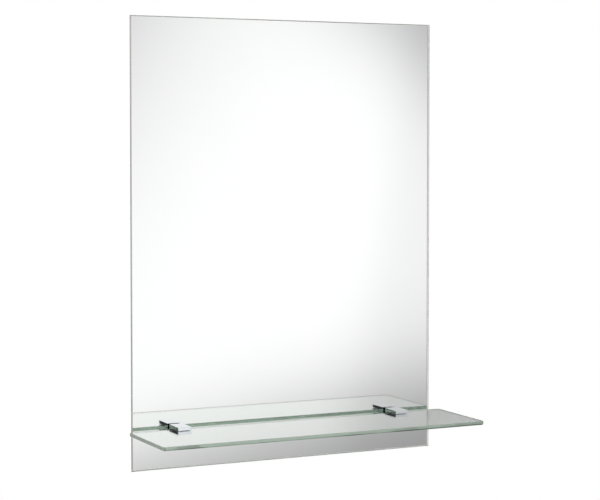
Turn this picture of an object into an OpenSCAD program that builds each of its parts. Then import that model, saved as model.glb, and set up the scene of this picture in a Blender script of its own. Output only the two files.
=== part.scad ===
// Frameless wall mirror with a glass shelf that two chrome clamps hold by its back edge.
// X runs along the mirror, Y runs into the wall and Z is up, in millimetres.
// The wall is the plane Y = 0, and the origin is midway between the round holes of the two keyholes.

/* [Mirror] */
// Width of the mirror glass
mirror_w = 450; // [400:10:800]
// Height of the mirror glass
mirror_h = 600; // [400:10:1000]
// Thickness of the mirror glass
mirror_t = 4; // [3:1:6]
// Chamfer ground along every edge of the mirror glass
mirror_arris = 1.2; // [0.2:0.1:1.4]
// Thickness of the silvering with the paint over it
backing_t = 0.15; // [0.1:0.05:0.3]
// Width of bare glass left round the silvering
backing_inset = 0.3; // [0.2:0.1:2]
// Gap between the back of the mirror and the wall
wall_gap = 7; // [7:0.5:12]

/* [Shelf] */
// Length of the shelf
shelf_w = 468; // [400:1:800]
// Depth of the shelf from its back edge to its front edge
shelf_d = 123; // [80:1:180]
// Thickness of the shelf
shelf_t = 5; // [4:1:8]
// Radius of the shelf's corners, seen from above
shelf_corner_r = 2; // [1.5:0.5:20]
// Radius of the shelf's polished edges
shelf_edge_r = 1.2; // [0.5:0.1:1.8]
// Height of the shelf's middle plane above the mirror's bottom edge
shelf_rise = 52.5; // [30:0.5:200]
// Gap between the mirror and the shelf's back edge
shelf_gap = 13; // [12:1:20]

/* [Clamps] */
// Distance between the two clamps
clamp_spacing = 326; // [200:1:360]
// Width of a clamp along the mirror
clamp_w = 19; // [16:1:26]
// Reach of a clamp from the mirror to its front face
clamp_d = 32; // [30:1:40]
// Thickness of each of the two jaws
jaw_t = 4.5; // [4:0.5:7]
// Radius of the clamp's front corners, seen from above
clamp_corner_r = 1; // [0.8:0.2:5]
// Radius of the clamp's other edges
clamp_edge_r = 0.5; // [0.3:0.1:0.8]
// Thickness of a jaw's soft liner
liner_t = 0.8; // [0.6:0.1:1.5]
// How far a liner stands out of its seat in the jaw
liner_proud = 0.3; // [0.2:0.1:0.6]
// Thickness of the gasket between a clamp and the mirror
front_gasket_t = 0.5; // [0.5:0.25:1.5]

/* [Clamp screws] */
// Nominal diameter of the screw that holds a clamp
screw_d = 4; // [4:1:5]
// Length of that screw under its head
screw_length = 14; // [12:1:16]
// Diameter of the pan head
head_d = 8; // [7:0.5:9]
// Height of the pan head
head_h = 3; // [2:0.1:3.2]
// Thickness of the large steel washer
washer_t = 1; // [0.8:0.1:1.2]
// Diameter of the large steel washer
washer_d = 12; // [9:1:14]
// Thickness of the rubber washer behind the glass
rear_gasket_t = 1; // [0.5:0.1:1.5]
// Diameter of the rubber washer behind the glass
rear_gasket_d = 14; // [12:1:16]
// Diameter of the hole drilled in the mirror glass
glass_hole_d = 7; // [6.5:0.5:9]

/* [Hangers] */
// Distance between the two keyholes
hanger_spacing = 300; // [200:10:320]
// Height of the mirror's top edge above the keyholes' round holes
hanger_drop = 80; // [50:5:150]
// Width of a hanger plate
hanger_w = 70; // [50:1:90]
// Height of a hanger plate
hanger_h = 50; // [46:1:70]
// Sheet thickness of a hanger plate
sheet_t = 1.2; // [0.8:0.1:1.5]
// Thickness of the adhesive tape under a hanger plate
tape_t = 1; // [0.8:0.1:1.6]
// Diameter of the keyhole's round hole
keyhole_d = 10; // [8:0.5:11]
// Width of the keyhole's slot
keyhole_slot_w = 5; // [4:0.5:6]
// Height of the slot's end above the round hole's centre
keyhole_rise = 12; // [9:1:13]
// Diameter of a wall bumper
bumper_d = 20; // [12:1:26]

/* [Hidden] */
$fn = 64;

left = -1;
right = 1;
past = 1;                 // how far a cutter runs past the face that it cuts
running_gap = 0.02;       // radial gap between a screw and its tapped hole
seat_gap = 0.1;           // gap round a liner in its seat

mirror_front_y = -(wall_gap + backing_t + mirror_t);
mirror_top_z = hanger_drop;
mirror_bottom_z = mirror_top_z - mirror_h;
shelf_z = mirror_bottom_z + shelf_rise;

// Clamp: the slot takes the shelf and what the two liners stand out
slot_h = shelf_t + 2 * liner_proud;
clamp_h = slot_h + 2 * jaw_t;
slot_floor_gap = 0.5;
slot_d = clamp_d - shelf_gap + slot_floor_gap;
slot_lead = 0.4;
liner_w = clamp_w - 3;
liner_d = 14.5;
liner_corner_r = 2;
liner_y = -(clamp_d - 1 - liner_d / 2);
gasket_margin = 0.8;
tapped_d = 10;

// Set screw in the lower jaw
grub_d = 4;
grub_length = jaw_t - (liner_t - liner_proud);
grub_socket_af = 2;
grub_socket_d = 2;
grub_chamfer = 0.4;

// Sleeve round the clamp screw in the glass
sleeve_d = glass_hole_d - 0.2;
screw_hole_d = screw_d + 0.2;
cross_w = 1.1;
cross_span = 4.4;
cross_d = 2;
head_dome = 0.45;         // share of the head's height that is domed

// Hanger plate: the raised pocket reaches the wall and holds the wall screw's head
glued_y = -(wall_gap - tape_t);
pocket_w = 24;
pocket_h = 30;
pocket_centre_z = 5;
pocket_corner_r = 6;
pocket_edge_r = 1.6;
hanger_corner_r = 5;

// Wall bumpers
bumper_edge_r = 1;
bumper_inset_x = 30;
bumper_inset_z = 30;

// Half of a slab's cross-section: from the axis out to `reach`, with its two outer corners rounded.
module edge_section(reach, t, edge_r) {
    square([reach - edge_r, t]);
    translate([0, edge_r])
        square([reach, t - 2 * edge_r]);
    for (height = [edge_r, t - edge_r])
        translate([reach - edge_r, height])
            circle(edge_r);
}

// Flat slab on Z = 0, centred in plan, with round corners and rounded upper and lower edges.
module eased_slab(w, d, t, corner_r, edge_r) {
    core_w = w - 2 * corner_r;
    core_d = d - 2 * corner_r;
    translate([-core_w / 2, -core_d / 2, 0])
        cube([core_w, core_d, t]);
    for (turn = [0, 180]) {
        rotate(turn)
            translate([core_w / 2, core_d / 2, 0])
                rotate([90, 0, 0])
                    linear_extrude(core_d)
                        edge_section(corner_r, t, edge_r);
        rotate(turn)
            translate([-core_w / 2, core_d / 2, 0])
                rotate([90, 0, 90])
                    linear_extrude(core_w)
                        edge_section(corner_r, t, edge_r);
        rotate(turn)
            translate([core_w / 2, core_d / 2, 0])
                rotate_extrude(angle = 90)
                    edge_section(corner_r, t, edge_r);
        rotate(turn)
            translate([-core_w / 2, core_d / 2, 0])
                rotate(90)
                    rotate_extrude(angle = 90)
                        edge_section(corner_r, t, edge_r);
    }
}

// Plate outline with round corners, centred.
module round_rectangle(w, h, r) {
    square([w - 2 * r, h], center = true);
    square([w, h - 2 * r], center = true);
    for (x = [-1, 1], y = [-1, 1])
        translate([x * (w / 2 - r), y * (h / 2 - r)])
            circle(r);
}

// Lays a flat shape against the wall: its plan goes to XZ and its thickness to -Y.
module upright() {
    rotate([90, 0, 0])
        children();
}

// Frame on a clamp screw's axis, at the front face of the mirror glass.
module at_clamp(side) {
    translate([side * clamp_spacing / 2, mirror_front_y, shelf_z])
        children();
}

// Frame at the round hole of a keyhole, on the wall.
module at_keyhole(side) {
    translate([side * hanger_spacing / 2, 0, 0])
        children();
}

// Rectangle with its four corners cut off at 45 degrees, centred.
module arrissed_rectangle(w, h, arris) {
    x = w / 2;
    y = h / 2;
    polygon([
        [-x + arris, -y], [x - arris, -y], [x, -y + arris], [x, y - arris],
        [x - arris, y], [-x + arris, y], [-x, y - arris], [-x, -y + arris]
    ]);
}

// Pane whose chamfers meet in mitres, with a hole for each clamp screw.
module mirror_glass() {
    pane_y = mirror_front_y + mirror_t / 2;
    pane_z = mirror_top_z - mirror_h / 2;
    color([0.80, 0.88, 0.86, 0.5])
        difference() {
            translate([0, pane_y, pane_z])
                intersection() {
                    translate([0, 0, -mirror_h / 2])
                        linear_extrude(mirror_h)
                            arrissed_rectangle(mirror_w, mirror_t, mirror_arris);
                    rotate([90, 0, 90])
                        translate([0, 0, -mirror_w / 2])
                            linear_extrude(mirror_w)
                                arrissed_rectangle(mirror_t, mirror_h, mirror_arris);
                }
            for (side = [left, right])
                at_clamp(side)
                    screw_axis_cylinder(glass_hole_d, -past, mirror_t + past);
        }
}

// Cylinder on a clamp screw's axis between two depths, both measured from the glass into the wall.
module screw_axis_cylinder(d, from, to) {
    translate([0, to, 0])
        rotate([90, 0, 0])
            cylinder(d = d, h = to - from);
}

module mirror_backing() {
    backing_w = mirror_w - 2 * (mirror_arris + backing_inset);
    backing_h = mirror_h - 2 * (mirror_arris + backing_inset);
    color("silver")
        difference() {
            translate([0, -wall_gap, mirror_top_z - mirror_h / 2])
                upright()
                    linear_extrude(backing_t)
                        square([backing_w, backing_h], center = true);
            for (side = [left, right])
                at_clamp(side)
                    screw_axis_cylinder(glass_hole_d, 0, mirror_t + backing_t + past);
        }
}

module shelf_glass() {
    color([0.72, 0.86, 0.78, 0.5])
        translate([0, mirror_front_y - shelf_gap - shelf_d / 2, shelf_z - shelf_t / 2])
            eased_slab(shelf_w, shelf_d, shelf_t, shelf_corner_r, shelf_edge_r);
}

// Slot for the shelf, open at the front with a small lead-in.
module shelf_slot() {
    rotate([90, 0, 90])
        translate([0, 0, -clamp_w / 2 - past])
            linear_extrude(clamp_w + 2 * past)
                translate([-clamp_d, 0])
                    polygon([
                        [slot_d, -slot_h / 2], [slot_d, slot_h / 2],
                        [slot_lead, slot_h / 2], [0, slot_h / 2 + slot_lead],
                        [-past, slot_h / 2 + slot_lead], [-past, -slot_h / 2 - slot_lead],
                        [0, -slot_h / 2 - slot_lead], [slot_lead, -slot_h / 2]
                    ]);
}

// Cast C-shaped clamp: back block, two jaws, liner seats and two tapped holes.
module clamp_body() {
    slab_d = clamp_d - front_gasket_t + clamp_corner_r;
    color("gainsboro")
        difference() {
            translate([0, slab_d / 2 - clamp_d, -clamp_h / 2])
                eased_slab(clamp_w, slab_d, clamp_h, clamp_corner_r, clamp_edge_r);
            translate([-clamp_w, -front_gasket_t, -clamp_h])
                cube([2 * clamp_w, clamp_d, 2 * clamp_h]);
            shelf_slot();
            for (jaw = [-1, 1])
                translate([0, liner_y, jaw * (shelf_t / 2 + liner_t / 2)])
                    linear_extrude(liner_t, center = true)
                        round_rectangle(liner_w, liner_d, liner_corner_r);
            screw_axis_cylinder(screw_d, -front_gasket_t - tapped_d, past);
            translate([0, liner_y, -clamp_h / 2 - past])
                cylinder(d = grub_d, h = jaw_t + past);
        }
}

// Soft liner, lying against the shelf from above or from below.
module liner(jaw) {
    color("dimgray")
        translate([0, liner_y, jaw * (shelf_t / 2 + liner_t / 2)])
            linear_extrude(liner_t, center = true)
                round_rectangle(
                    liner_w - 2 * seat_gap, liner_d - 2 * seat_gap, liner_corner_r - seat_gap
                );
}

// Set screw with a hex socket at its lower end, pressing the lower liner up.
module grub_screw() {
    grub_r = grub_d / 2 - running_gap;
    grub_z = -shelf_t / 2 - liner_t - grub_length;
    color("slategray")
        translate([0, liner_y, grub_z])
            difference() {
                rotate_extrude()
                    polygon([
                        [0, 0], [grub_r - grub_chamfer, 0], [grub_r, grub_chamfer],
                        [grub_r, grub_length - grub_chamfer], [grub_r - grub_chamfer, grub_length],
                        [0, grub_length]
                    ]);
                translate([0, 0, -past])
                    cylinder(d = grub_socket_af / cos(30), h = grub_socket_d + past, $fn = 6);
            }
}

module front_gasket() {
    color([0.12, 0.12, 0.12])
        difference() {
            upright()
                linear_extrude(front_gasket_t)
                    round_rectangle(
                        clamp_w - 2 * gasket_margin, clamp_h - 2 * gasket_margin, liner_corner_r
                    );
            screw_axis_cylinder(screw_hole_d, -front_gasket_t - past, past);
        }
}

// Ring on the screw's axis between two depths behind the front face of the glass.
module screw_ring(outer_d, inner_d, from, to) {
    difference() {
        screw_axis_cylinder(outer_d, from, to);
        screw_axis_cylinder(inner_d, from - past, to + past);
    }
}

module hole_sleeve() {
    color("ivory")
        screw_ring(sleeve_d, screw_hole_d, 0, mirror_t + backing_t);
}

module rear_gasket() {
    glass_back = mirror_t + backing_t;
    color([0.15, 0.15, 0.15])
        screw_ring(rear_gasket_d, screw_hole_d, glass_back, glass_back + rear_gasket_t);
}

module steel_washer() {
    gasket_back = mirror_t + backing_t + rear_gasket_t;
    color("silver")
        screw_ring(washer_d, screw_d + 0.3, gasket_back, gasket_back + washer_t);
}

// Pan-head machine screw with a cross recess, its head against the steel washer.
module clamp_screw() {
    seat_y = mirror_t + backing_t + rear_gasket_t + washer_t;
    dome_h = head_h * head_dome;
    dome_r = (pow(head_d / 2, 2) + pow(dome_h, 2)) / (2 * dome_h);
    shank_r = screw_d / 2 - running_gap;
    color("lightsteelblue")
        translate([0, seat_y, 0])
            rotate([-90, 0, 0])
                difference() {
                    union() {
                        cylinder(d = head_d, h = head_h - dome_h);
                        intersection() {
                            translate([0, 0, head_h - dome_r])
                                sphere(dome_r, $fn = 128);
                            translate([0, 0, head_h - dome_h])
                                cylinder(d = head_d, h = dome_h + past);
                        }
                        translate([0, 0, -screw_length])
                            cylinder(r = shank_r, h = screw_length);
                    }
                    for (turn = [0, 90])
                        rotate(turn)
                            translate([-cross_span / 2, -cross_w / 2, head_h - cross_d])
                                cube([cross_span, cross_w, cross_d + past]);
                }
}

// Keyhole cutter: the round hole lets the wall screw's head in, and the slot holds its shank.
module keyhole() {
    screw_axis_cylinder(keyhole_d, -sheet_t - past, past);
    translate([-keyhole_slot_w / 2, -sheet_t - past, 0])
        cube([keyhole_slot_w, sheet_t + 2 * past, keyhole_rise]);
    translate([0, 0, keyhole_rise])
        screw_axis_cylinder(keyhole_slot_w, -sheet_t - past, past);
}

// Pressed steel plate: a flat glued flange round a raised pocket with the keyhole in its face.
module hanger_plate() {
    pocket_d = -glued_y + pocket_edge_r;
    inner_edge_r = pocket_edge_r - sheet_t;
    color("lightgray")
        difference() {
            union() {
                translate([0, 0, pocket_centre_z])
                    upright()
                        eased_slab(pocket_w, pocket_h, pocket_d, pocket_corner_r, pocket_edge_r);
                translate([0, glued_y + sheet_t, pocket_centre_z])
                    upright()
                        linear_extrude(sheet_t)
                            round_rectangle(hanger_w, hanger_h, hanger_corner_r);
            }
            translate([0, -sheet_t, pocket_centre_z])
                upright()
                    eased_slab(
                        pocket_w - 2 * sheet_t, pocket_h - 2 * sheet_t, pocket_d,
                        pocket_corner_r - sheet_t, inner_edge_r
                    );
            translate([-hanger_w, glued_y - pocket_d, -hanger_h])
                cube([2 * hanger_w, pocket_d, 2 * hanger_h + pocket_centre_z]);
            keyhole();
        }
}

// Foam tape with a window behind the pocket, so the wall screw's head has room.
module hanger_tape() {
    color("whitesmoke")
        translate([0, glued_y, pocket_centre_z])
            upright()
                linear_extrude(tape_t)
                    difference() {
                        round_rectangle(hanger_w, hanger_h, hanger_corner_r);
                        round_rectangle(
                            pocket_w - 2 * sheet_t, pocket_h - 2 * sheet_t, pocket_corner_r - sheet_t
                        );
                    }
}

module wall_bumper(side) {
    color([0.15, 0.15, 0.15])
        translate([
            side * (mirror_w / 2 - bumper_inset_x), 0, mirror_bottom_z + bumper_inset_z
        ])
            upright()
                rotate_extrude()
                    edge_section(bumper_d / 2, wall_gap, bumper_edge_r);
}

mirror_glass();
mirror_backing();
shelf_glass();
at_clamp(left) clamp_body();  // clamp_body_left
at_clamp(right) clamp_body();  // clamp_body_right
at_clamp(left) liner(1);  // upper_liner_left
at_clamp(right) liner(1);  // upper_liner_right
at_clamp(left) liner(-1);  // lower_liner_left
at_clamp(right) liner(-1);  // lower_liner_right
at_clamp(left) grub_screw();  // grub_screw_left
at_clamp(right) grub_screw();  // grub_screw_right
at_clamp(left) front_gasket();  // front_gasket_left
at_clamp(right) front_gasket();  // front_gasket_right
at_clamp(left) hole_sleeve();  // hole_sleeve_left
at_clamp(right) hole_sleeve();  // hole_sleeve_right
at_clamp(left) rear_gasket();  // rear_gasket_left
at_clamp(right) rear_gasket();  // rear_gasket_right
at_clamp(left) steel_washer();  // steel_washer_left
at_clamp(right) steel_washer();  // steel_washer_right
at_clamp(left) clamp_screw();  // clamp_screw_left
at_clamp(right) clamp_screw();  // clamp_screw_right
at_keyhole(left) hanger_plate();  // hanger_plate_left
at_keyhole(right) hanger_plate();  // hanger_plate_right
at_keyhole(left) hanger_tape();  // hanger_tape_left
at_keyhole(right) hanger_tape();  // hanger_tape_right
wall_bumper(left);  // wall_bumper_left
wall_bumper(right);  // wall_bumper_right
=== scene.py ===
"""Looks of a frameless wall mirror whose glass shelf is held by two chrome clamps.

X runs along the mirror, Y into the wall and Z up, in metres. The wall is the plane Y = 0.
"""

import math

import bmesh
import bpy
from mathutils import Matrix, Vector


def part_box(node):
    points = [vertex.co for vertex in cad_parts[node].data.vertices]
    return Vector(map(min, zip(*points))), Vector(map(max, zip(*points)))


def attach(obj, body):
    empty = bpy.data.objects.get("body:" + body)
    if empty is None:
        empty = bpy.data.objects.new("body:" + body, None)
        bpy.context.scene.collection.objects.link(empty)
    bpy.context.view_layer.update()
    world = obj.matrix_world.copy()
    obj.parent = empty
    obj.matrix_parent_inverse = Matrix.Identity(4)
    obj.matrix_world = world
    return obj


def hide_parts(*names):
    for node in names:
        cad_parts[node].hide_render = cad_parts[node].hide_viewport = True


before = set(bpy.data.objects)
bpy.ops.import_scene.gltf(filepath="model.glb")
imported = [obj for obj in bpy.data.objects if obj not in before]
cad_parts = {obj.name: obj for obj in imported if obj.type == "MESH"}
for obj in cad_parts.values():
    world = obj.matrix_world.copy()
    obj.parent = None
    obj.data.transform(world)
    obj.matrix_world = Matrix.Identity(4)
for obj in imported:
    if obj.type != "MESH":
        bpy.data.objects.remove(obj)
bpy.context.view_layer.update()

MM = 0.001
SIDES = ("left", "right")

# ---------------- camera

CAMERA_PLACE = (-1.01046, -2.14570, -0.08378)
CAMERA_YAW = 25.781      # degrees that the view turns from +Y towards +X
CAMERA_PITCH = -2.229    # degrees above the level, so the view looks slightly down
CAMERA_LENS = 103.838    # mm
CAMERA_SENSOR = 36       # mm wide
CAMERA_SHIFT = -0.07     # of the picture's width
CAMERA_REACH = 200       # metres


def add_camera():
    """The photograph's viewpoint."""
    camera = bpy.data.cameras.new("camera")
    camera.sensor_width = CAMERA_SENSOR
    camera.lens = CAMERA_LENS
    camera.shift_y = CAMERA_SHIFT
    camera.clip_end = CAMERA_REACH
    placed = linked("camera", camera)
    placed.location = CAMERA_PLACE
    placed.rotation_euler = (math.radians(90 + CAMERA_PITCH), 0, math.radians(-CAMERA_YAW))
    bpy.context.scene.camera = placed


# ---------------- node trees


class Socket:
    """An output of a node that Python's operators work on."""

    def __init__(self, nodes, socket):
        self.nodes = nodes
        self.socket = socket

    def output(self, name):
        """Another output of the same node."""
        return Socket(self.nodes, self.socket.node.outputs[name])

    def maths(self, operation, *others):
        """A Math node on this value and the others."""
        sockets = dict(enumerate((self, *others)))
        return self.nodes.add("ShaderNodeMath", {"operation": operation}, sockets)

    def clamped(self):
        """This value, kept between 0 and 1."""
        settings = {"operation": "MULTIPLY", "use_clamp": True}
        return self.nodes.add("ShaderNodeMath", settings, {0: self, 1: 1})

    def __add__(self, other):
        return self.maths("ADD", other)

    def __radd__(self, other):
        return self.maths("ADD", other)

    def __sub__(self, other):
        return self.maths("SUBTRACT", other)

    def __rsub__(self, other):
        return self.nodes.number(other).maths("SUBTRACT", self)

    def __mul__(self, other):
        return self.maths("MULTIPLY", other)

    def __rmul__(self, other):
        return self.maths("MULTIPLY", other)

    def __truediv__(self, other):
        return self.maths("DIVIDE", other)

    def __rtruediv__(self, other):
        return self.nodes.number(other).maths("DIVIDE", self)

    def __gt__(self, other):
        return self.maths("GREATER_THAN", other)

    def __lt__(self, other):
        return self.maths("LESS_THAN", other)


class Nodes:
    """One node tree, to which add() gives any node."""

    def __init__(self, tree):
        self.tree = tree
        tree.nodes.clear()

    def add(self, kind, settings=None, sockets=None):
        """Adds a node: its settings first, then the values or links of its sockets."""
        node = self.tree.nodes.new(kind)
        for name, value in (settings or {}).items():
            if name == "stops":
                self.set_stops(node.color_ramp, value)
            else:
                setattr(node, name, value)
        for name, value in (sockets or {}).items():
            if isinstance(value, Socket):
                self.tree.links.new(value.socket, node.inputs[name])
            else:
                node.inputs[name].default_value = value
        return Socket(self, node.outputs[0]) if len(node.outputs) else node

    @staticmethod
    def set_stops(ramp, stops):
        """Stops of a colour ramp: pairs of a position and a colour."""
        while len(ramp.elements) < len(stops):
            ramp.elements.new(1)
        for element, (position, colour) in zip(ramp.elements, stops):
            element.position = position
            element.color = (*colour, 1)

    def number(self, value):
        """A plain number as a socket."""
        return self.add("ShaderNodeMath", {"operation": "ADD"}, {0: value, 1: 0})

    def fade(self, value, low, high, start=0.0, end=1.0):
        """Goes smoothly from start to end while value goes from low to high."""
        sockets = {"Value": value, "From Min": low, "From Max": high, "To Min": start, "To Max": end}
        return self.add("ShaderNodeMapRange", {"interpolation_type": "SMOOTHSTEP"}, sockets)

    def vary(self, noise, start, end):
        """Goes from start to end over the range in which a noise mostly lies."""
        return self.fade(noise, 0.3, 0.7, start, end)

    def blend(self, factor, first, second):
        """Colour between first and second."""
        # a Mix node's colour sockets are its seventh and eighth inputs and its third output
        mixed = self.add("ShaderNodeMix", {"data_type": "RGBA"}, {0: factor, 6: first, 7: second})
        return Socket(self, mixed.socket.node.outputs[2])

    def ramp(self, factor, *stops):
        """Colour of a ramp through those stops."""
        return self.add("ShaderNodeValToRGB", {"stops": stops}, {"Fac": factor})

    def place(self, scale=(1, 1, 1)):
        """Object coordinates in metres times scale, which stretches a pattern where it is below 1."""
        coordinates = self.add("ShaderNodeTexCoord").output("Object")
        return self.add("ShaderNodeMapping", None, {"Vector": coordinates, "Scale": scale})

    def noise(self, place, scale, detail):
        """Cloudy noise with about that many clouds to the metre."""
        sockets = {"Vector": place, "Scale": scale, "Detail": detail}
        return self.add("ShaderNodeTexNoise", None, sockets)

    def bump(self, height, distance):
        """Normals of a relief that is as deep as distance."""
        return self.add("ShaderNodeBump", None, {"Height": height, "Distance": distance})


class Finish(Nodes):
    """The nodes of one material."""

    def __init__(self, name):
        self.material = bpy.data.materials.new(name)
        self.material.use_nodes = True
        super().__init__(self.material.node_tree)

    def tint(self, density):
        """The green that light takes on inside the glass."""
        sockets = {"Color": GLASS_GREEN, "Density": density}
        return self.add("ShaderNodeVolumeAbsorption", None, sockets)

    def surface(self, sockets, volume=None):
        """Ends the tree in a Principled shader and returns the material."""
        shader = self.add("ShaderNodeBsdfPrincipled", None, sockets)
        ends = {"Surface": shader}
        if volume is not None:
            ends["Volume"] = volume
        self.add("ShaderNodeOutputMaterial", None, ends)
        return self.material


# ---------------- finishes

GLASS_IOR = 1.52
GLASS_GREEN = (0.2, 0.79, 0.35, 1)
# near-black green of the painted shade along the shelf's lower arris
ARRIS_SHADE_GREEN = (0.04, 0.075, 0.05, 1)


def float_glass(name, density):
    """Clear float glass: green through its thickness, and a very slight ripple in its faces."""
    nodes = Finish(name)
    waves = nodes.noise(nodes.place(), scale=9, detail=1)
    return nodes.surface(
        {
            "Base Color": (1, 1, 1, 1),
            "Roughness": 0.0,
            "IOR": GLASS_IOR,
            "Transmission Weight": 1.0,
            "Normal": nodes.bump(waves, 0.002 * MM),
        },
        nodes.tint(density),
    )


def ground_edge(name, density):
    """Ground glass edge: frosted, with a fine grain and with patches of wear."""
    nodes = Finish(name)
    grain = nodes.noise(nodes.place(), scale=2500, detail=3)
    wear = nodes.noise(nodes.place(), scale=60, detail=2)
    return nodes.surface(
        {
            "Base Color": nodes.blend(wear, (0.92, 0.88, 0.855, 1), (0.97, 0.93, 0.905, 1)),
            "Roughness": nodes.vary(wear, 0.3, 0.45),
            "IOR": GLASS_IOR,
            "Transmission Weight": 0.75,
            "Normal": nodes.bump(grain, 0.02 * MM),
        },
        nodes.tint(density),
    )


def shelf_edge(name, dark, light, clearness, roughness, arris_shade=0.0):
    """Edge of the shelf: the grey-green of thick glass, with faint lines along it.

    The last argument is how strongly painted shade darkens its lower arris, in streaks.
    """
    nodes = Finish(name)
    lines = nodes.noise(nodes.place((0.05, 0.05, 1)), scale=2600, detail=2)
    drift = nodes.noise(nodes.place(), scale=25, detail=2)
    height = nodes.add("ShaderNodeSeparateXYZ", None, {"Vector": nodes.place()}).output("Z")
    dark_below = shelf_low.z + 0.9 * SHELF_EDGE
    light_above = shelf_low.z + 1.6 * SHELF_EDGE
    # painted shade: the lower arris is blended towards a near-black green, in streaks
    low = nodes.fade(height, dark_below, light_above, arris_shade, 0)
    streaks = nodes.fade(nodes.noise(nodes.place(), scale=12, detail=1), 0.42, 0.58, 0.35, 1)
    return nodes.surface(
        {
            "Base Color": nodes.blend(low * streaks, nodes.blend(drift, dark, light), ARRIS_SHADE_GREEN),
            "Roughness": nodes.vary(lines, roughness, 2 * roughness),
            "IOR": GLASS_IOR,
            "Transmission Weight": clearness,
            "Normal": nodes.bump(lines, 0.002 * MM),
        }
    )


def silvering():
    """Silver behind the glass, with a faint cloudiness in its reflection."""
    nodes = Finish("silvering")
    cloud = nodes.noise(nodes.place(), scale=14, detail=4)
    colour = nodes.blend(cloud, (0.945, 0.955, 0.95, 1), (0.965, 0.97, 0.965, 1))
    return nodes.surface({"Base Color": colour, "Metallic": 1.0, "Roughness": 0.0})


def backing_paint():
    """Grey protective paint on the mirror's back: mottled, pebbled and in faint upright streaks."""
    nodes = Finish("backing_paint")
    place = nodes.place()
    cloud = nodes.noise(place, scale=6, detail=5)
    streaks = nodes.noise(nodes.place((1, 1, 0.06)), scale=160, detail=3)
    pebbles = nodes.noise(place, scale=1400, detail=2)
    tone = cloud * 0.65 + streaks * 0.35
    return nodes.surface(
        {
            "Base Color": nodes.ramp(tone, (0.35, (0.19, 0.205, 0.215)), (0.65, (0.245, 0.26, 0.27))),
            "Roughness": nodes.vary(streaks, 0.42, 0.55),
            "Normal": nodes.bump(pebbles + streaks, 0.03 * MM),
        }
    )


def chrome():
    """Bright chrome plate: a trace of polishing haze and of hairlines that run along X."""
    nodes = Finish("chrome")
    haze = nodes.noise(nodes.place(), scale=300, detail=4)
    hairlines = nodes.noise(nodes.place((0.05, 1, 1)), scale=9000, detail=2)
    return nodes.surface(
        {
            "Base Color": nodes.blend(haze, (0.845, 0.875, 0.91, 1), (0.885, 0.91, 0.94, 1)),
            "Metallic": 1.0,
            "Roughness": nodes.fade(haze, 0.35, 0.75, 0.02, 0.06),
            "Normal": nodes.bump(hairlines, 0.0004 * MM),
        }
    )


def dull_casting():
    """Dark, rough, half-metallic surface on the clamps' slot walls: painted shade between the jaws."""
    nodes = Finish("dull_casting")
    grain = nodes.noise(nodes.place(), scale=3500, detail=3)
    return nodes.surface(
        {
            "Base Color": nodes.blend(grain, (0.10, 0.104, 0.11, 1), (0.17, 0.175, 0.18, 1)),
            "Metallic": 0.6,
            "Roughness": nodes.vary(grain, 0.5, 0.65),
            "Normal": nodes.bump(grain, 0.01 * MM),
        }
    )


def zinc_plate():
    """Bright zinc plate with a faint blue and yellow cast that drifts over it."""
    nodes = Finish("zinc_plate")
    place = nodes.place()
    drift = nodes.noise(place, scale=350, detail=2)
    grain = nodes.noise(place, scale=4000, detail=3)
    blue = (0.50, 0.56, 0.66)
    plain = (0.64, 0.66, 0.68)
    yellow = (0.68, 0.66, 0.58)
    return nodes.surface(
        {
            "Base Color": nodes.ramp(drift, (0.3, blue), (0.5, plain), (0.7, yellow)),
            "Metallic": 1.0,
            "Roughness": nodes.vary(grain, 0.22, 0.38),
            "Normal": nodes.bump(grain, 0.01 * MM),
        }
    )


def galvanised():
    """Galvanised sheet: spangles, each with its own tone and shine."""
    nodes = Finish("galvanised")
    place = nodes.place()
    spangle = nodes.add("ShaderNodeTexVoronoi", None, {"Vector": place, "Scale": 260})
    tone = nodes.add("ShaderNodeSeparateColor", None, {"Color": spangle.output("Color")})
    grain = nodes.noise(place, scale=3000, detail=3)
    return nodes.surface(
        {
            "Base Color": nodes.ramp(tone, (0.0, (0.42, 0.44, 0.46)), (1.0, (0.66, 0.68, 0.70))),
            "Metallic": 1.0,
            "Roughness": 0.28 + tone * 0.16 + grain * 0.1,
            "Normal": nodes.bump(grain, 0.01 * MM),
        }
    )


def plain_steel():
    """Dark oiled steel of the set screws."""
    nodes = Finish("plain_steel")
    grain = nodes.noise(nodes.place(), scale=2500, detail=4)
    return nodes.surface(
        {
            "Base Color": nodes.blend(grain, (0.20, 0.20, 0.21, 1), (0.42, 0.42, 0.43, 1)),
            "Metallic": 1.0,
            "Roughness": nodes.vary(grain, 0.25, 0.45),
            "Normal": nodes.bump(grain, 0.01 * MM),
        }
    )


def moulded(name, dark, light, roughness, texture):
    """Rubber or plastic: two near tones and a moulded texture of that size in millimetres."""
    nodes = Finish(name)
    place = nodes.place()
    tone = nodes.noise(place, scale=120, detail=4)
    pores = nodes.noise(place, scale=1 / (texture * MM), detail=3)
    return nodes.surface(
        {
            "Base Color": nodes.blend(tone, dark, light),
            "Roughness": nodes.vary(pores, roughness - 0.08, roughness + 0.08),
            "Normal": nodes.bump(pores, 0.05 * MM),
        }
    )


def foam():
    """Closed-cell foam: small cells, darkened towards their pits with painted shade."""
    nodes = Finish("foam")
    place = nodes.place()
    cells = nodes.add("ShaderNodeTexVoronoi", None, {"Vector": place, "Scale": 2200})
    pit_shade = (0.55, 0.55, 0.53)
    wall = (0.80, 0.80, 0.78)
    ridge = (0.86, 0.86, 0.84)
    return nodes.surface(
        {
            # painted shade: the colour darkens from the ridges down into the pits
            "Base Color": nodes.ramp(cells, (0.0, pit_shade), (0.35, wall), (1.0, ridge)),
            "Roughness": nodes.fade(cells, 0.0, 0.6, 0.65, 0.85),
            "Normal": nodes.bump(cells, 0.1 * MM),
        }
    )


# ---------------- mesh helpers

TINY = 0.001 * MM            # points nearer to each other than this are one
OVERSHOOT = 1 * MM           # how far a cutter reaches past what it cuts
QUARTER_STEPS = 8            # chords in a round corner
OUTLINE_POINTS = 4 * (QUARTER_STEPS + 1)


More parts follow.
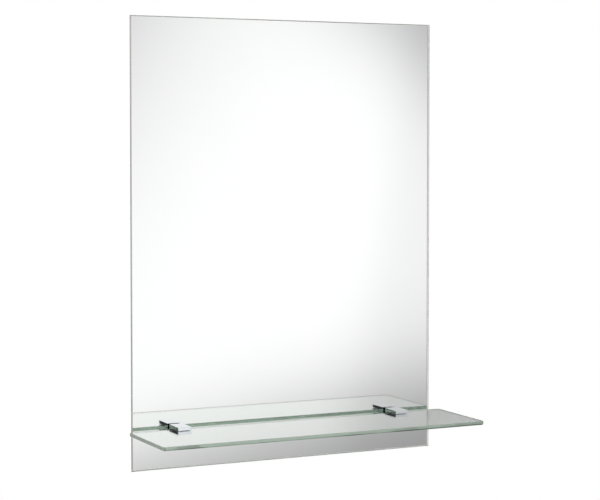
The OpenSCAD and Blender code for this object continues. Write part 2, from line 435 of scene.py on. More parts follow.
def linked(name, data):
    """A new object in the scene, of that mesh or camera."""
    made = bpy.data.objects.new(name, data)
    bpy.context.scene.collection.objects.link(made)
    return made


def add_piece(name, mesh, materials, node):
    """Shows mesh as one piece that stands for that CAD node."""
    piece = linked(name, mesh)
    for material in materials:
        mesh.materials.append(material)
    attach(piece, "root")
    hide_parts(node)


def mesh_from(bm, name):
    """Flat-shaded mesh from a bmesh, with its faces outwards."""
    bmesh.ops.recalc_face_normals(bm, faces=bm.faces)
    mesh = bpy.data.meshes.new(name)
    bm.to_mesh(mesh)
    bm.free()
    for face in mesh.polygons:
        face.use_smooth = False
    return mesh


def join(name, *meshes):
    """One mesh from one or several, with its faces outwards."""
    bm = bmesh.new()
    for mesh in meshes:
        bm.from_mesh(mesh)
    return mesh_from(bm, name)


def merged(mesh):
    """The mesh with its coinciding points made one."""
    bm = bmesh.new()
    bm.from_mesh(mesh)
    bmesh.ops.remove_doubles(bm, verts=bm.verts, dist=TINY)
    return mesh_from(bm, mesh.name)


def evaluated(carrier):
    """Plain mesh of an object after its modifiers. The object itself is removed."""
    graph = bpy.context.evaluated_depsgraph_get()
    mesh = bpy.data.meshes.new_from_object(carrier.evaluated_get(graph), depsgraph=graph)
    mesh.name = carrier.name
    carrier.modifiers.clear()
    bpy.data.objects.remove(carrier)
    return mesh


def finished(mesh, *modifiers):
    """The mesh after those modifiers, each given as its type and its settings."""
    carrier = linked(mesh.name, mesh)
    for kind, settings in modifiers:
        modifier = carrier.modifiers.new(kind.lower(), kind)
        for name, value in settings.items():
            setattr(modifier, name, value)
    return evaluated(carrier)


def weighted_normals(mesh, sharp_angle=40):
    """Keeps flat faces flat to the eye and rounds what lies between them."""
    for face in mesh.polygons:
        face.use_smooth = True
    mesh.set_sharp_from_angle(angle=math.radians(sharp_angle))
    return finished(mesh, ("WEIGHTED_NORMAL", {"mode": "FACE_AREA", "weight": 100, "keep_sharp": True}))


def cut(mesh, *cutters):
    """Mesh with the space of the cutters' meshes taken out of it."""
    tools = [linked("cutter", cutter) for cutter in cutters]
    settings = {"operation": "DIFFERENCE", "solver": "EXACT"}
    result = finished(mesh, *[("BOOLEAN", {**settings, "object": tool}) for tool in tools])
    for tool in tools:
        bpy.data.objects.remove(tool)
    return result


def loft(name, rings, closed=False, caps=True):
    """Skin over rings of equally many points. closed joins the last ring to the first."""
    bm = bmesh.new()
    rows = [[bm.verts.new(point) for point in ring] for ring in rings]
    pairs = list(zip(rows, rows[1:]))
    if closed:
        pairs.append((rows[-1], rows[0]))
    for low, high in pairs:
        for i in range(len(low)):
            j = (i + 1) % len(low)
            bm.faces.new((low[i], low[j], high[j], high[i]))
    if caps and not closed:
        bm.faces.new(rows[0])
        bm.faces.new(rows[-1])
    return mesh_from(bm, name)


def round_outline(w, h, r):
    """Points round a rectangle with round corners, centred, counted from its right-hand side."""
    points = []
    for quarter, (x, z) in enumerate(((1, 1), (-1, 1), (-1, -1), (1, -1))):
        for step in range(QUARTER_STEPS + 1):
            turn = math.radians(90 * (quarter + step / QUARTER_STEPS))
            points.append((x * (w / 2 - r) + r * math.cos(turn), z * (h / 2 - r) + r * math.sin(turn)))
    return points


def eased_steps(edge, count=4):
    """(inset, rise) pairs of a quarter round, from the flat face to the side."""
    turns = [math.radians(90 * step / count) for step in range(count + 1)]
    return [(edge * (1 - math.sin(turn)), edge * (1 - math.cos(turn))) for turn in turns]


def eased_ring(inner, outer, low, high, ease):
    """Closed profile of a washer with eased outer and inner corners."""
    return [
        (inner + ease, low), (outer - ease, low), (outer, low + ease), (outer, high - ease),
        (outer - ease, high), (inner + ease, high), (inner, high - ease), (inner, low + ease),
    ]


def lathe(name, profile, centre, count=64, closed=False, axis="Y"):
    """Turned piece about an axis along Y or Z. profile is (radius, place on the axis) pairs."""
    turns = [math.tau * i / count for i in range(count)]
    rings = []
    for radius, place in profile:
        ring = []
        for turn in turns:
            a = centre[0] + radius * math.cos(turn)
            b = centre[1] + radius * math.sin(turn)
            ring.append((a, place, b) if axis == "Y" else (a, b, place))
        rings.append(ring)
    return loft(name, rings, closed=closed)


def pad_mesh(name, low, high, corner, ease=0):
    """Flat pad between two corners of its box, seen from above with round corners."""
    size = high - low
    middle = (low + high) / 2
    steps = [(0, low.z), (0, high.z)]
    if ease:
        steps = [(ease, low.z), (0, low.z + ease), (0, high.z - ease), (ease, high.z)]
    rings = []
    for inset, z in steps:
        outline = round_outline(size.x - 2 * inset, size.y - 2 * inset, corner - inset)
        rings.append([(middle.x + x, middle.y + y, z) for x, y in outline])
    return loft(name, rings)


def holed_plate(name, low, high, outer, hole):
    """Upright plate that fills its box: an outline and a hole in it, whose points pair up."""
    middle = (low + high) / 2
    rings = [
        [(middle.x + x, y, middle.z + z) for x, z in outline]
        for outline, y in ((outer, low.y), (outer, high.y), (hole, high.y), (hole, low.y))
    ]
    return loft(name, rings, closed=True)


class Shape(Nodes):
    """A Geometry Nodes tree with named sizes and a material, used on an empty mesh."""

    def __init__(self, name, *sizes):
        tree = bpy.data.node_groups.new(name, "GeometryNodeTree")
        tree.interface.new_socket("Geometry", in_out="OUTPUT", socket_type="NodeSocketGeometry")
        super().__init__(tree)
        kinds = {label: "NodeSocketFloat" for label in sizes}
        kinds["Material"] = "NodeSocketMaterial"
        self.identifiers = {}
        for label, kind in kinds.items():
            made = tree.interface.new_socket(label, in_out="INPUT", socket_type=kind)
            self.identifiers[label] = made.identifier
        self.entry = tree.nodes.new("NodeGroupInput")

    def value(self, label):
        """One of the tree's inputs."""
        return Socket(self, self.entry.outputs[label])

    def point(self, x=0, y=0, z=0):
        """A vector from three values."""
        return self.add("ShaderNodeCombineXYZ", None, {"X": x, "Y": y, "Z": z})

    def end(self, geometry):
        """Merges the seams, realises the geometry and gives it its material."""
        sockets = {"Geometry": geometry, "Distance": TINY}
        sealed = self.add("GeometryNodeMergeByDistance", None, sockets)
        real = self.add("GeometryNodeRealizeInstances", None, {"Geometry": sealed})
        sockets = {"Geometry": real, "Material": self.value("Material")}
        dressed = self.add("GeometryNodeSetMaterial", None, sockets)
        self.add("NodeGroupOutput", None, {"Geometry": dressed})

    def build(self, name, **inputs):
        """The tree's mesh for those inputs."""
        carrier = linked(name, bpy.data.meshes.new(name))
        modifier = carrier.modifiers.new("shape", "NODES")
        modifier.node_group = self.tree
        for label, value in inputs.items():
            modifier[self.identifiers[label.capitalize()]] = value
        return evaluated(carrier)


# ---------------- sizes

ARRIS = 1.2 * MM             # of the mirror's ground edges
SILVER_DEPTH = 0.02 * MM     # the silver lies this far inside the glass, so that no faces coincide
SILVER_THICK = 0.05 * MM
GLASS_HOLE_R = 3.5 * MM

SHELF_CORNER = 5 * MM        # seen from above
SHELF_EDGE = 1.2 * MM        # radius of the shelf's arrises

JAW = 4.5 * MM               # thickness of a clamp above or below its slot
CLAMP_CORNER = 0.6 * MM      # seen from above
CLAMP_EDGE = 0.5 * MM
SLOT_EDGE = 0.2 * MM
SLOT_FLOOR_GAP = 0.5 * MM    # between the shelf and the slot's floor
SEAT_GAP = 0.1 * MM          # round a liner in its seat
TAPPED_R = 2 * MM
TAPPED_DEPTH = 10 * MM
TAPPED_MOUTH = 0.3 * MM      # chamfer
LINER_CORNER = 1.9 * MM
LINER_EDGE = 0.15 * MM
GASKET_CORNER = 2 * MM

SOFT_BORE_R = 2.1 * MM       # of the gaskets and the sleeve
WASHER_BORE_R = 2.15 * MM
RING_EASE = 0.12 * MM
ROD_R = 1.98 * MM
ROD_IN_HEAD = 0.5 * MM       # how far the rod reaches into the head
THREAD_PITCH = 0.7 * MM
THREAD_DEPTH = 0.38 * MM
HEAD_EASE = 0.15 * MM
HEAD_DOME = 0.45             # of the head's height
RECESS_DEPTH = 2 * MM
RECESS_FLOOR = (2.2 * MM, 0.7 * MM)     # span and bar width of the cross at the recess's floor
RECESS_TOP = (5.4 * MM, 1.3 * MM)       # the same where its cutter ends, above the head
HEX_ACROSS = 2 * MM
HEX_DEPTH = 1.8 * MM
HEX_POINT = 0.4 * MM         # depth of the point below the hexagon
HEX_POINT_R = 0.1 * MM

SHEET = 1.2 * MM
HANGER_CORNER = 5 * MM
HANGER_EDGE = 0.15 * MM
POCKET_W = 24 * MM
POCKET_H = 30 * MM
POCKET_CORNER = 6 * MM
POCKET_BASE = 0.8 * MM       # radius of the bend at the pocket's foot
POCKET_EDGE = 1.6 * MM
KEYHOLE_Z = 0                # the origin is level with the round holes
KEYHOLE_R = 5 * MM
KEYHOLE_SLOT_R = 2.5 * MM
KEYHOLE_RISE = 12 * MM
BUMPER_EDGE = 1 * MM

pane_low, pane_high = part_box("mirror_glass")
backing_low, backing_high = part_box("mirror_backing")
shelf_low, shelf_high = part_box("shelf_glass")
slot_floor_y = shelf_high.y + SLOT_FLOOR_GAP


def screw_axis(side):
    """X and Z of a clamp screw."""
    low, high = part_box(f"clamp_screw_{side}")
    return ((low.x + high.x) / 2, (low.z + high.z) / 2)


def set_screw_axis(side):
    """X and Y of a set screw."""
    low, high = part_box(f"grub_screw_{side}")
    return ((low.x + high.x) / 2, (low.y + high.y) / 2)


# ---------------- mirror


def slab_ring(low, high, inset, y):
    """Corners of a slab at that depth, drawn in by inset."""
    return [
        (low.x + inset, y, low.z + inset), (high.x - inset, y, low.z + inset),
        (high.x - inset, y, high.z - inset), (low.x + inset, y, high.z - inset),
    ]


def drilled(mesh, depth_low, depth_high):
    """Mesh with the two clamp-screw holes cut through it."""
    walls = [(GLASS_HOLE_R, depth_low), (GLASS_HOLE_R, depth_high)]
    return cut(mesh, *[lathe("hole", walls, screw_axis(side)) for side in SIDES])


def on_rim(face):
    """Whether a face of the pane belongs to its ground edges."""
    near = 2 * ARRIS
    at_side = abs(face.center.x) > pane_high.x - near
    at_end = face.center.z > pane_high.z - near or face.center.z < pane_low.z + near
    return abs(face.normal.y) < 0.9 and (at_side or at_end)


def make_mirror(clear, ground, silver, paint):
    """Pane with ground arrises, silver behind it and paint over the silver."""
    steps = (
        (ARRIS, pane_low.y), (0, pane_low.y + ARRIS), (0, pane_high.y - ARRIS), (ARRIS, pane_high.y)
    )
    rings = [slab_ring(pane_low, pane_high, inset, y) for inset, y in steps]
    pane = drilled(loft("mirror_pane", rings), pane_low.y - OVERSHOOT, pane_high.y + OVERSHOOT)
    for face in pane.polygons:
        face.material_index = 1 if on_rim(face) else 0
    add_piece("mirror_pane", pane, [clear, ground], "mirror_glass")

    silver_front = pane_high.y - SILVER_DEPTH
    silver_back = silver_front + SILVER_THICK
    coats = (
        ("silver_coat", silver_front, silver_back, silver),
        ("paint_coat", silver_back, backing_high.y, paint),
    )
    for name, front, back, material in coats:
        rings = [slab_ring(backing_low, backing_high, 0, y) for y in (front, back)]
        coat = drilled(loft(name, rings), pane_low.y, backing_high.y + OVERSHOOT)
        add_piece(name, coat, [material], "mirror_backing")


# ---------------- shelf


def eased_slab_shape():
    """Glass slab: its edge, with round arrises, follows the outline, and two flat faces close it."""
    shape = Shape("eased_slab", "Width", "Depth", "Thickness", "Corner", "Edge")
    corner_steps = 14
    edge = shape.value("Edge")
    half = shape.value("Thickness") / 2
    flat = shape.add(
        "GeometryNodeCurvePrimitiveQuadrilateral", {"mode": "RECTANGLE"},
        {"Width": shape.value("Width") - 2 * edge, "Height": shape.value("Depth") - 2 * edge},
    )
    radius = shape.value("Corner") - edge
    outline = shape.add(
        "GeometryNodeFilletCurve", {"mode": "POLY"},
        {"Curve": flat, "Count": corner_steps, "Radius": radius, "Limit Radius": True},
    )
    outline = shape.add("GeometryNodeSetCurveNormal", {"mode": "Z_UP"}, {"Curve": outline})

    # Edge profile: 2 * arc_steps points from the lower flat face round to the upper one
    arc_steps = 8
    line = shape.add("GeometryNodeMeshLine", None, {"Count": 2 * arc_steps})
    index = shape.add("GeometryNodeInputIndex")
    upper = index > arc_steps - 0.5
    quarter = (index - upper * arc_steps) / (arc_steps - 1)
    turn = (quarter + upper - 1) * (math.pi / 2)
    out = turn.maths("COSINE") * edge
    rise = turn.maths("SINE") * edge + (2 * upper - 1) * (half - edge)
    sockets = {"Geometry": line, "Position": shape.point(x=out, y=rise)}
    bent = shape.add("GeometryNodeSetPosition", None, sockets)
    profile = shape.add("GeometryNodeMeshToCurve", None, {"Mesh": bent})
    rim = shape.add("GeometryNodeCurveToMesh", None, {"Curve": outline, "Profile Curve": profile})

    face = shape.add("GeometryNodeFillCurve", {"mode": "NGONS"}, {"Curve": outline})
    sockets = {"Geometry": face, "Translation": shape.point(z=half)}
    top = shape.add("GeometryNodeTransform", None, sockets)
    sockets = {"Geometry": face, "Translation": shape.point(z=0 - half)}
    under = shape.add("GeometryNodeTransform", None, sockets)
    under = shape.add("GeometryNodeFlipFaces", None, {"Mesh": under})
    whole = shape.add("GeometryNodeJoinGeometry")
    for part in (rim, top, under):
        shape.tree.links.new(part.socket, whole.socket.node.inputs[0])
    shape.end(whole)
    return shape


def shelf_finish(face):
    """Number of a face's material: 0 where it lies flat, 1 in front, 2 at the sides, 3 at the back. The
    edge is one glass, coloured darker in front as painted shade and lighter at the sides and back as
    painted light.
    """
    if abs(face.normal.z) > 0.99:
        return 0
    if face.center.y > shelf_high.y - SHELF_EDGE:
        return 3
    return 2 if abs(face.normal.x) > abs(face.normal.y) else 1


def make_shelf(glass, front_edge, side_edge, back_edge):
    """Shelf with round corners and arrises."""
    size = shelf_high - shelf_low
    mesh = eased_slab_shape().build(
        "shelf", width=size.x, depth=size.y, thickness=size.z,
        corner=SHELF_CORNER, edge=SHELF_EDGE, material=glass,
    )
    mesh.transform(Matrix.Translation((shelf_low + shelf_high) / 2))
    mesh = weighted_normals(join("shelf", mesh), sharp_angle=60)
    mesh.materials.clear()
    for face in mesh.polygons:
        face.material_index = shelf_finish(face)
    add_piece("shelf", mesh, [glass, front_edge, side_edge, back_edge], "shelf_glass")


# ---------------- clamps


def clamp_outline(low, high, inset, z, at_slot=False):
    """A clamp seen from above: from its back right corner round the front to its back left one.

    At the slot only the jaws' edges are inset, and the inset runs out at the slot's floor.
    """
    half = (high.x - low.x) / 2
    back_half = half if at_slot else half - inset
    right = [(back_half, high.y), (back_half, slot_floor_y), (half - inset, slot_floor_y - 2 * SLOT_EDGE)]
    corner_steps = 6
    for step in range(corner_steps + 1):
        turn = math.radians(90 * step / corner_steps)
        right.append((
            half - CLAMP_CORNER + (CLAMP_CORNER - inset) * math.cos(turn),
            low.y + CLAMP_CORNER - (CLAMP_CORNER - inset) * math.sin(turn),
        ))
    left = [(-x, y) for x, y in reversed(right)]
    return [((low.x + high.x) / 2 + x, y, z) for x, y in right + left]


def slot_floor_line(outline, low, high):
    """The same points, those of the jaw drawn back evenly onto the line of the slot's floor."""
    last = len(outline) - 3
    line = [(high.x - (high.x - low.x) * i / last, slot_floor_y, outline[0][2]) for i in range(last + 1)]
    return [outline[0], *line, outline[-1]]


def tapped_hole(centre, floor, mouth, axis="Y"):
    """Cutter for a tapped hole with a chamfered mouth. floor and mouth are places on its axis."""
    out = math.copysign(1, mouth - floor)
    wide = TAPPED_R + TAPPED_MOUTH
    walls = [
        (TAPPED_R, floor), (TAPPED_R, mouth - out * TAPPED_MOUTH),
        (wide, mouth), (wide, mouth + out * OVERSHOOT),
    ]
    return lathe("tapped_hole", walls, centre, axis=axis)


def clamp_mesh(side):
    """C-shaped clamp with rounded edges, liner seats and its two tapped holes."""
    low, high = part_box(f"clamp_body_{side}")
    slot_low, slot_high = low.z + JAW, high.z - JAW
    lower = [clamp_outline(low, high, inset, low.z + rise) for inset, rise in eased_steps(CLAMP_EDGE)]
    for inset, rise in reversed(eased_steps(SLOT_EDGE)):
        lower.append(clamp_outline(low, high, inset, slot_low - rise, at_slot=True))
    lower.append(slot_floor_line(lower[-1], low, high))
    upper = [[(x, y, low.z + high.z - z) for x, y, z in ring] for ring in reversed(lower)]
    body = merged(loft("clamp", lower + upper))

    cutters = []
    gap = Vector((SEAT_GAP, SEAT_GAP, 0))
    for liner in ("upper_liner", "lower_liner"):
        liner_low, liner_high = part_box(f"{liner}_{side}")
        cutters.append(pad_mesh("seat", liner_low - gap, liner_high + gap, LINER_CORNER + SEAT_GAP))
    cutters.append(tapped_hole(screw_axis(side), high.y - TAPPED_DEPTH, high.y))
    cutters.append(tapped_hole(set_screw_axis(side), slot_low + OVERSHOOT, low.z, axis="Z"))
    body = weighted_normals(cut(body, *cutters), sharp_angle=35)

    # the slot's walls take a dark metal: painted shade between the jaws
    for face in body.polygons:
        between = slot_low - TINY < face.center.z < slot_high + TINY
        face.material_index = 1 if between and face.center.y < slot_floor_y + TINY else 0
    return body


def gasket_mesh(low, high):
    """Upright pad with round corners and a round hole for the screw."""
    outer = round_outline(high.x - low.x, high.z - low.z, GASKET_CORNER)
    hole = [(SOFT_BORE_R * x / math.hypot(x, z), SOFT_BORE_R * z / math.hypot(x, z)) for x, z in outer]
    return holed_plate("gasket", low, high, outer, hole)


def make_clamp(side, metal, slot_shade, liner, rubber):
    """Clamp with what touches the glass."""
    add_piece(f"clamp_{side}", clamp_mesh(side), [metal, slot_shade], f"clamp_body_{side}")
    for node in (f"upper_liner_{side}", f"lower_liner_{side}"):
        pad = weighted_normals(pad_mesh(node, *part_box(node), LINER_CORNER, LINER_EDGE))
        add_piece(f"{node}_pad", pad, [liner], node)
    gasket = gasket_mesh(*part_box(f"front_gasket_{side}"))
    add_piece(f"gasket_{side}", gasket, [rubber], f"front_gasket_{side}")


# ---------------- screws and washers


def threaded_rod_shape():
    """Threaded rod along Z: a grid of points wound round it and closed at both ends."""
    shape = Shape("threaded_rod", "Radius", "Length", "Pitch", "Depth")
    columns = 33             # the last column closes onto the first
    rows_per_turn = 8
    nudge = 0.001            # keeps a whole number from being rounded down to the one below
    length = shape.value("Length")
    pitch = shape.value("Pitch")
    depth = shape.value("Depth")
    rows = (length / pitch * rows_per_turn).maths("ROUND") + 3
    grid = shape.add("GeometryNodeMeshGrid", None, {"Vertices X": rows, "Vertices Y": columns})
    index = shape.add("GeometryNodeInputIndex")
    row = (index / columns + nudge).maths("FLOOR")
    share = (index - row * columns) / (columns - 1)
    along = ((row - 1) / (rows - 3)).clamped() * length

    # a ridge with a flat crest climbs one pitch a turn and fades out at both ends
    steepness = 2.6
    phase = (along / pitch - share + 1).maths("FRACT")
    ridge = (steepness / 2 - (phase - 0.5).maths("ABSOLUTE") * steepness).clamped()
    to_end = along.maths("MINIMUM", length - along)
    fade = (to_end / pitch).clamped()
    radius = shape.value("Radius") - depth + depth * ridge * fade

    # the first and the last row lie on the axis and close the ends
    inside = (row > 0.5) * (row < rows - 1.5)
    turn = share * math.tau
    x = turn.maths("COSINE") * radius * inside
    y = turn.maths("SINE") * radius * inside
    sockets = {"Geometry": grid, "Position": shape.point(x, y, along)}
    shape.end(shape.add("GeometryNodeSetPosition", None, sockets))
    return shape


def placed_rod(shape, length, place, metal):
    """A threaded rod of that length, moved by the matrix place."""
    mesh = shape.build(
        "rod", radius=ROD_R, length=length, pitch=THREAD_PITCH, depth=THREAD_DEPTH, material=metal
    )
    mesh.transform(place)
    mesh.materials.clear()
    return mesh


def plus_outline(span, width):
    """Twelve points round a plus sign."""
    a, b = width / 2, span / 2
    return [
        (b, -a), (b, a), (a, a), (a, b), (-a, b), (-a, a),
        (-b, a), (-b, -a), (-a, -a), (-a, -b), (a, -b), (a, -a),
    ]


def pan_head(seat, top, radius, centre):
    """Domed head with a tapered cross recess."""
    dome = HEAD_DOME * (top - seat)
    dome_radius = (radius ** 2 + dome ** 2) / (2 * dome)
    dome_steps = 8
    profile = [(radius - HEAD_EASE, seat), (radius, seat + HEAD_EASE), (radius, top - dome)]
    for step in range(1, dome_steps):
        across = radius * (1 - step / dome_steps)
        profile.append((across, top - dome_radius + math.sqrt(dome_radius ** 2 - across ** 2)))
    head = lathe("pan_head", profile, centre, count=48)
    rings = []
    for y, cross in ((top - RECESS_DEPTH, RECESS_FLOOR), (top + OVERSHOOT, RECESS_TOP)):
        rings.append([(centre[0] + x, y, centre[1] + z) for x, z in plus_outline(*cross)])
    return cut(head, loft("recess", rings))


def make_clamp_screw(side, shape, zinc, nylon, rubber):
    """Screw that holds a clamp, with its sleeve and the two washers behind the glass."""
    centre = screw_axis(side)
    low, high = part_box(f"clamp_screw_{side}")
    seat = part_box(f"steel_washer_{side}")[1].y
    # the rod's Z turns to Y
    place = Matrix.Translation((centre[0], low.y, centre[1])) @ Matrix.Rotation(math.radians(-90), 4, "X")
    rod = placed_rod(shape, seat - low.y + ROD_IN_HEAD, place, zinc)
    head = pan_head(seat, high.y, (high.x - low.x) / 2, centre)
    screw = weighted_normals(join("screw", rod, head))
    add_piece(f"screw_{side}", screw, [zinc], f"clamp_screw_{side}")

    rings = (
        ("steel_washer", "zinc_steel", WASHER_BORE_R, zinc),
        ("rear_gasket", "black_rubber", SOFT_BORE_R, rubber),
        ("hole_sleeve", "nylon", SOFT_BORE_R, nylon),
    )
    for kind, slot, bore, material in rings:
        low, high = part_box(f"{kind}_{side}")
        profile = eased_ring(bore, (high.x - low.x) / 2, low.y, high.y, RING_EASE)
        ring = weighted_normals(lathe(kind, profile, centre, closed=True))
        add_piece(f"{kind}_ring_{side}", ring, [material], f"{kind}_{side}")


def make_set_screw(side, shape, steel):
    """Hex-socket set screw, its socket at the lower end."""
    low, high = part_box(f"grub_screw_{side}")
    centre = set_screw_axis(side)
    rod = placed_rod(shape, high.z - low.z, Matrix.Translation((*centre, low.z)), steel)
    corner_r = HEX_ACROSS / 2 / math.cos(math.radians(30))
    foot = low.z + HEX_DEPTH
    walls = [(corner_r, low.z - OVERSHOOT), (corner_r, foot), (HEX_POINT_R, foot + HEX_POINT)]
    socket = lathe("hex_socket", walls, centre, count=6, axis="Z")
    screw = weighted_normals(cut(join("rod", rod), socket))
    add_piece(f"set_screw_{side}", screw, [steel], f"grub_screw_{side}")


# ---------------- hangers and bumpers


def keyhole_outline():
    """Round hole with a slot upwards, its points paired with those of round_outline."""
    slot_foot = math.sqrt(KEYHOLE_R ** 2 - KEYHOLE_SLOT_R ** 2)
    right = [(KEYHOLE_SLOT_R, slot_foot), (KEYHOLE_SLOT_R, 0.6 * KEYHOLE_RISE)]
    slot_steps = 7
    for step in range(slot_steps):
        turn = math.radians(90 * step / slot_steps)
        right.append((KEYHOLE_SLOT_R * math.cos(turn), KEYHOLE_RISE + KEYHOLE_SLOT_R * math.sin(turn)))
    points = right + [(0, KEYHOLE_RISE + KEYHOLE_SLOT_R)]
    points += [(-x, z) for x, z in reversed(right)]

    # the round hole, from the slot's left foot round to its right foot
    foot_turn = math.acos(KEYHOLE_SLOT_R / KEYHOLE_R)
    steps = OUTLINE_POINTS - len(points) + 1
    for step in range(1, steps):
        turn = math.pi - foot_turn + (math.pi + 2 * foot_turn) * step / steps
        points.append((KEYHOLE_R * math.cos(turn), KEYHOLE_R * math.sin(turn)))
    return points


def hanger_mesh(side):
    """Pressed sheet: flange, base bend, pocket wall, rolled edge, and the keyhole in the face."""
    low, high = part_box(f"hanger_plate_{side}")
    middle_x = (low.x + high.x) / 2
    pocket_z = (low.z + high.z) / 2
    flange_y = low.y + SHEET

    def ring(outline, y, z=pocket_z):
        return [(middle_x + a, y, z + b) for a, b in outline]

    def pocket(out, y):
        return ring(round_outline(POCKET_W + 2 * out, POCKET_H + 2 * out, POCKET_CORNER + out), y)

    rings = [ring(round_outline(high.x - low.x, high.z - low.z, HANGER_CORNER), flange_y)]
    rings += [pocket(out, flange_y + rise) for out, rise in eased_steps(POCKET_BASE)]
    rings += [pocket(-inset, high.y - drop) for inset, drop in reversed(eased_steps(POCKET_EDGE, count=5))]
    rings.append(ring(keyhole_outline(), high.y, KEYHOLE_Z))
    thick = ("SOLIDIFY", {"thickness": SHEET, "offset": 1, "use_even_offset": True})
    limit = {"limit_method": "ANGLE", "angle_limit": math.radians(60)}
    eased = ("BEVEL", {"width": HANGER_EDGE, "segments": 2, **limit})
    return weighted_normals(finished(loft("hanger", rings, caps=False), thick, eased), sharp_angle=50)


def make_hanger(side, metal, tape):
    """Hanger plate on its adhesive tape."""
    add_piece(f"hanger_{side}", hanger_mesh(side), [metal], f"hanger_plate_{side}")
    low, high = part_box(f"hanger_tape_{side}")
    outer = round_outline(high.x - low.x, high.z - low.z, HANGER_CORNER)
    window = round_outline(POCKET_W - 2 * SHEET, POCKET_H - 2 * SHEET, POCKET_CORNER - SHEET)
    strip = holed_plate("tape", low, high, outer, window)
    add_piece(f"tape_{side}", strip, [tape], f"hanger_tape_{side}")


def make_bumper(side, rubber):
    """Rubber disc with rounded rims."""
    low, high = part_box(f"wall_bumper_{side}")
    radius = (high.x - low.x) / 2
    edge = eased_steps(BUMPER_EDGE)
    profile = [(radius - inset, low.y + rise) for inset, rise in edge]
    profile += [(radius - inset, high.y - rise) for inset, rise in reversed(edge)]
    disc = weighted_normals(lathe("bumper", profile, ((low.x + high.x) / 2, (low.z + high.z) / 2)))
    add_piece(f"bumper_{side}", disc, [rubber], f"wall_bumper_{side}")


# ---------------- studio

# the bright wall ahead of the mirror: where its middle is, and how bright it is
WALL_AZIMUTH = 25.5
WALL_ELEVATION = -3
WALL_LIGHT = 1.09
WALL_EDGES = (
    # bearing of a soft edge from the wall's middle, its distance, its softness, how much it dims
    (-73.9, 5.83, 0.95, 0.70),
    (47.8, 6.85, 0.81, 0.53),
    (-8.3, 2.94, 0.46, 0.14),
    (148.0, 9.29, 2.18, 0.80),
)
ROOM_LIGHT = 0.6             # round the wall
ROOM_FADE = (14, 32)         # degrees from the wall's middle
CEILING_LIGHT = 0.93
CORNER_LIGHT = 0.04
BEHIND_LIGHT = 0.16
BEHIND_GAIN = 0.7
BEHIND_RISE = (20, 60)       # degrees of elevation over which it gains that
BEHIND_WHITE = (5, 7)        # degrees of elevation where its white low part ends
DAYLIGHT = (0.55, 1.05)      # from below and from above
DAYLIGHT_RISE = (-0.6, 0.8)  # Z of the directions between which it rises

FLOOR_HEIGHT = -1.4
FLOOR_HALF = 3
FLOOR_CELLS = 12             # along each side
FLOOR_GLOW = 0.2             # what lifts the lit floor to white


class Surroundings(Nodes):
    """The world's nodes. Directions are in degrees: azimuth from -Y towards +X, and elevation."""

    def __init__(self, world):
        world.use_nodes = True
        super().__init__(world.node_tree)
        direction = self.add("ShaderNodeTexCoord").output("Generated")
        x = self.add("ShaderNodeSeparateXYZ", None, {"Vector": direction})
        self.y = x.output("Y")
        self.z = x.output("Z")
        self.azimuth = x.maths("ARCTAN2", 0 - self.y) * math.degrees(1)
        self.elevation = self.z.maths("ARCSINE") * math.degrees(1)
        self.path = self.add("ShaderNodeLightPath")

    def wall(self):
        """Bright wall that turns grey beyond four soft edges, in a soft grey room."""
        across = self.azimuth - WALL_AZIMUTH
        above = self.elevation - WALL_ELEVATION
        light = WALL_LIGHT
        for bearing, distance, softness, dims in WALL_EDGES:
            turn = math.radians(bearing)
            beyond = (across * math.cos(turn) + above * math.sin(turn) - distance) / softness
            share = 1 / (1 + (0 - beyond).maths("EXPONENT"))
            light = (1 - share * dims) * light
        aside = (across * across + above * above).maths("SQRT")
        return light + (ROOM_LIGHT - light) * self.fade(aside, *ROOM_FADE)

    def card(self, azimuth, elevation, half_width, half_height, softness):
        """1 inside a soft-edged card at that place in the room, 0 outside."""
        over = (self.azimuth - azimuth).maths("ABSOLUTE")
        up = (self.elevation - elevation).maths("ABSOLUTE")
        sides = self.fade(over, half_width - softness, half_width + softness, 1, 0)
        ends = self.fade(up, half_height - softness, half_height + softness, 1, 0)
        return sides * ends

    def ahead(self):
        """Ahead of the mirror: the wall, a bright ceiling over it and a dark corner towards -X."""
        wall = self.wall()
        ceiling = self.card(8.5, 22, half_width=19, half_height=15, softness=1.5) * 0.65
        ceiling += self.card(17.5, 22, half_width=28, half_height=15, softness=2) * 0.35
        corner = self.card(-26, 0, half_width=14, half_height=20, softness=4)
        light = wall + ceiling * (CEILING_LIGHT - wall)
        return light * (1 - corner) + corner * CORNER_LIGHT

    def behind(self):
        """Behind the mirror: dim, brighter high up, and white low down where it is seen through glass."""
        low = self.fade(self.elevation, *BEHIND_WHITE, 1, 0)
        high = self.fade(self.elevation, *BEHIND_RISE)
        room = BEHIND_LIGHT + high * BEHIND_GAIN
        return room + (1 - room) * self.path.output("Is Transmission Ray") * low

    def light(self):
        """White to the camera, daylight to matt surfaces and the room to shiny ones."""
        ahead = self.ahead()
        room = ahead + (self.behind() - ahead) * self.fade(self.y, -0.05, 0.05)
        daylight = self.fade(self.z, *DAYLIGHT_RISE, *DAYLIGHT)
        lit = room + (daylight - room) * self.path.output("Is Diffuse Ray")
        return lit + (1 - lit) * self.path.output("Is Camera Ray")


def world_light():
    """White backdrop, and a room that only the glass and the metal show."""
    world = bpy.data.worlds.new("studio")
    bpy.context.scene.world = world
    nodes = Surroundings(world)
    sockets = {"Color": (1, 1, 1, 1), "Strength": nodes.light()}
    background = nodes.add("ShaderNodeBackground", None, sockets)
    nodes.add("ShaderNodeOutputWorld", None, {"Surface": background})


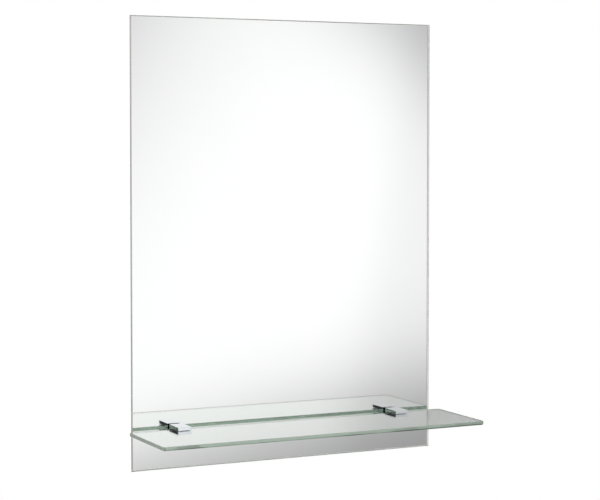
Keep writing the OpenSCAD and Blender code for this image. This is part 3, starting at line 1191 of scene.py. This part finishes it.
def floor_paint():
    """White matt paint that glows a little where it is seen, and doesn't light the object more."""
    nodes = Finish("floor_paint")
    path = nodes.add("ShaderNodeLightPath")
    seen = path.output("Is Camera Ray") + path.output("Is Glossy Ray") + path.output("Is Transmission Ray")
    grain = nodes.noise(nodes.place(), scale=5, detail=3)
    tone = nodes.blend(grain, (0.80, 0.80, 0.80, 1), (0.83, 0.83, 0.83, 1))
    matt = nodes.add("ShaderNodeBsdfDiffuse", None, {"Color": tone})
    sockets = {"Color": (1, 1, 1, 1), "Strength": seen.maths("MINIMUM", 1) * FLOOR_GLOW}
    glow = nodes.add("ShaderNodeEmission", None, sockets)
    both = nodes.add("ShaderNodeAddShader", None, {0: matt, 1: glow})
    nodes.add("ShaderNodeOutputMaterial", None, {"Surface": both})
    return nodes.material


def pale_floor():
    """Pale floor well below the object: white where it is lit, and it keeps the object's shadow."""
    bm = bmesh.new()
    bmesh.ops.create_grid(bm, x_segments=FLOOR_CELLS, y_segments=FLOOR_CELLS, size=FLOOR_HALF)
    bmesh.ops.translate(bm, verts=bm.verts, vec=(0, 0, FLOOR_HEIGHT))
    mesh = mesh_from(bm, "floor")
    mesh.materials.append(floor_paint())
    linked("floor", mesh)


def render_settings():
    """Plain colours, and enough bounces for glass in front of a mirror."""
    scene = bpy.context.scene
    scene.view_settings.view_transform = "Standard"
    # the glossy filter would dim light that reaches a surface by way of the glass and the silver
    scene.cycles.blur_glossy = 0.0
    scene.cycles.max_bounces = 32
    scene.cycles.glossy_bounces = 16
    scene.cycles.transmission_bounces = 28
    scene.cycles.transparent_max_bounces = 16


# ---------------- the scene

add_camera()
render_settings()
world_light()
pale_floor()

clear_glass = float_glass("clear_glass", density=0.8)
ground_glass = ground_edge("ground_glass", density=4.0)
make_mirror(clear_glass, ground_glass, silvering(), backing_paint())

shelf_clear = float_glass("shelf_clear", density=6.0)
# the shelf's edge is one glass in three painted copies: a darker front as painted shade, lighter sides and
# a much lighter, clearer back as painted light
front_edge = shelf_edge(
    "front_edge", dark=(0.40, 0.485, 0.405, 1), light=(0.45, 0.535, 0.455, 1),
    # painted shade along the front edge's lower arris
    clearness=0.32, roughness=0.08, arris_shade=1.0,
)
side_edge = shelf_edge(
    "side_edge", dark=(0.52, 0.585, 0.51, 1), light=(0.58, 0.64, 0.57, 1),
    clearness=0.32, roughness=0.08,
)
back_edge = shelf_edge(
    "back_edge", dark=(0.74, 1, 0.79, 1), light=(0.78, 1, 0.83, 1),
    clearness=0.76, roughness=0.05,
)
make_shelf(shelf_clear, front_edge, side_edge, back_edge)

metal = chrome()
slot_shade = dull_casting()
liner = moulded(
    "soft_liner", dark=(0.10, 0.105, 0.105, 1), light=(0.15, 0.155, 0.155, 1),
    roughness=0.5, texture=0.4,
)
rubber = moulded(
    "black_rubber", dark=(0.015, 0.015, 0.015, 1), light=(0.035, 0.035, 0.035, 1),
    roughness=0.6, texture=0.3,
)
nylon = moulded(
    "nylon", dark=(0.74, 0.72, 0.65, 1), light=(0.82, 0.80, 0.74, 1),
    roughness=0.4, texture=0.6,
)
zinc = zinc_plate()
steel = plain_steel()
sheet_metal = galvanised()
tape = foam()
rod_shape = threaded_rod_shape()
for side in SIDES:
    make_clamp(side, metal, slot_shade, liner, rubber)
    make_clamp_screw(side, rod_shape, zinc, nylon, rubber)
    make_set_screw(side, rod_shape, steel)
    make_hanger(side, sheet_metal, tape)
    make_bumper(side, rubber)
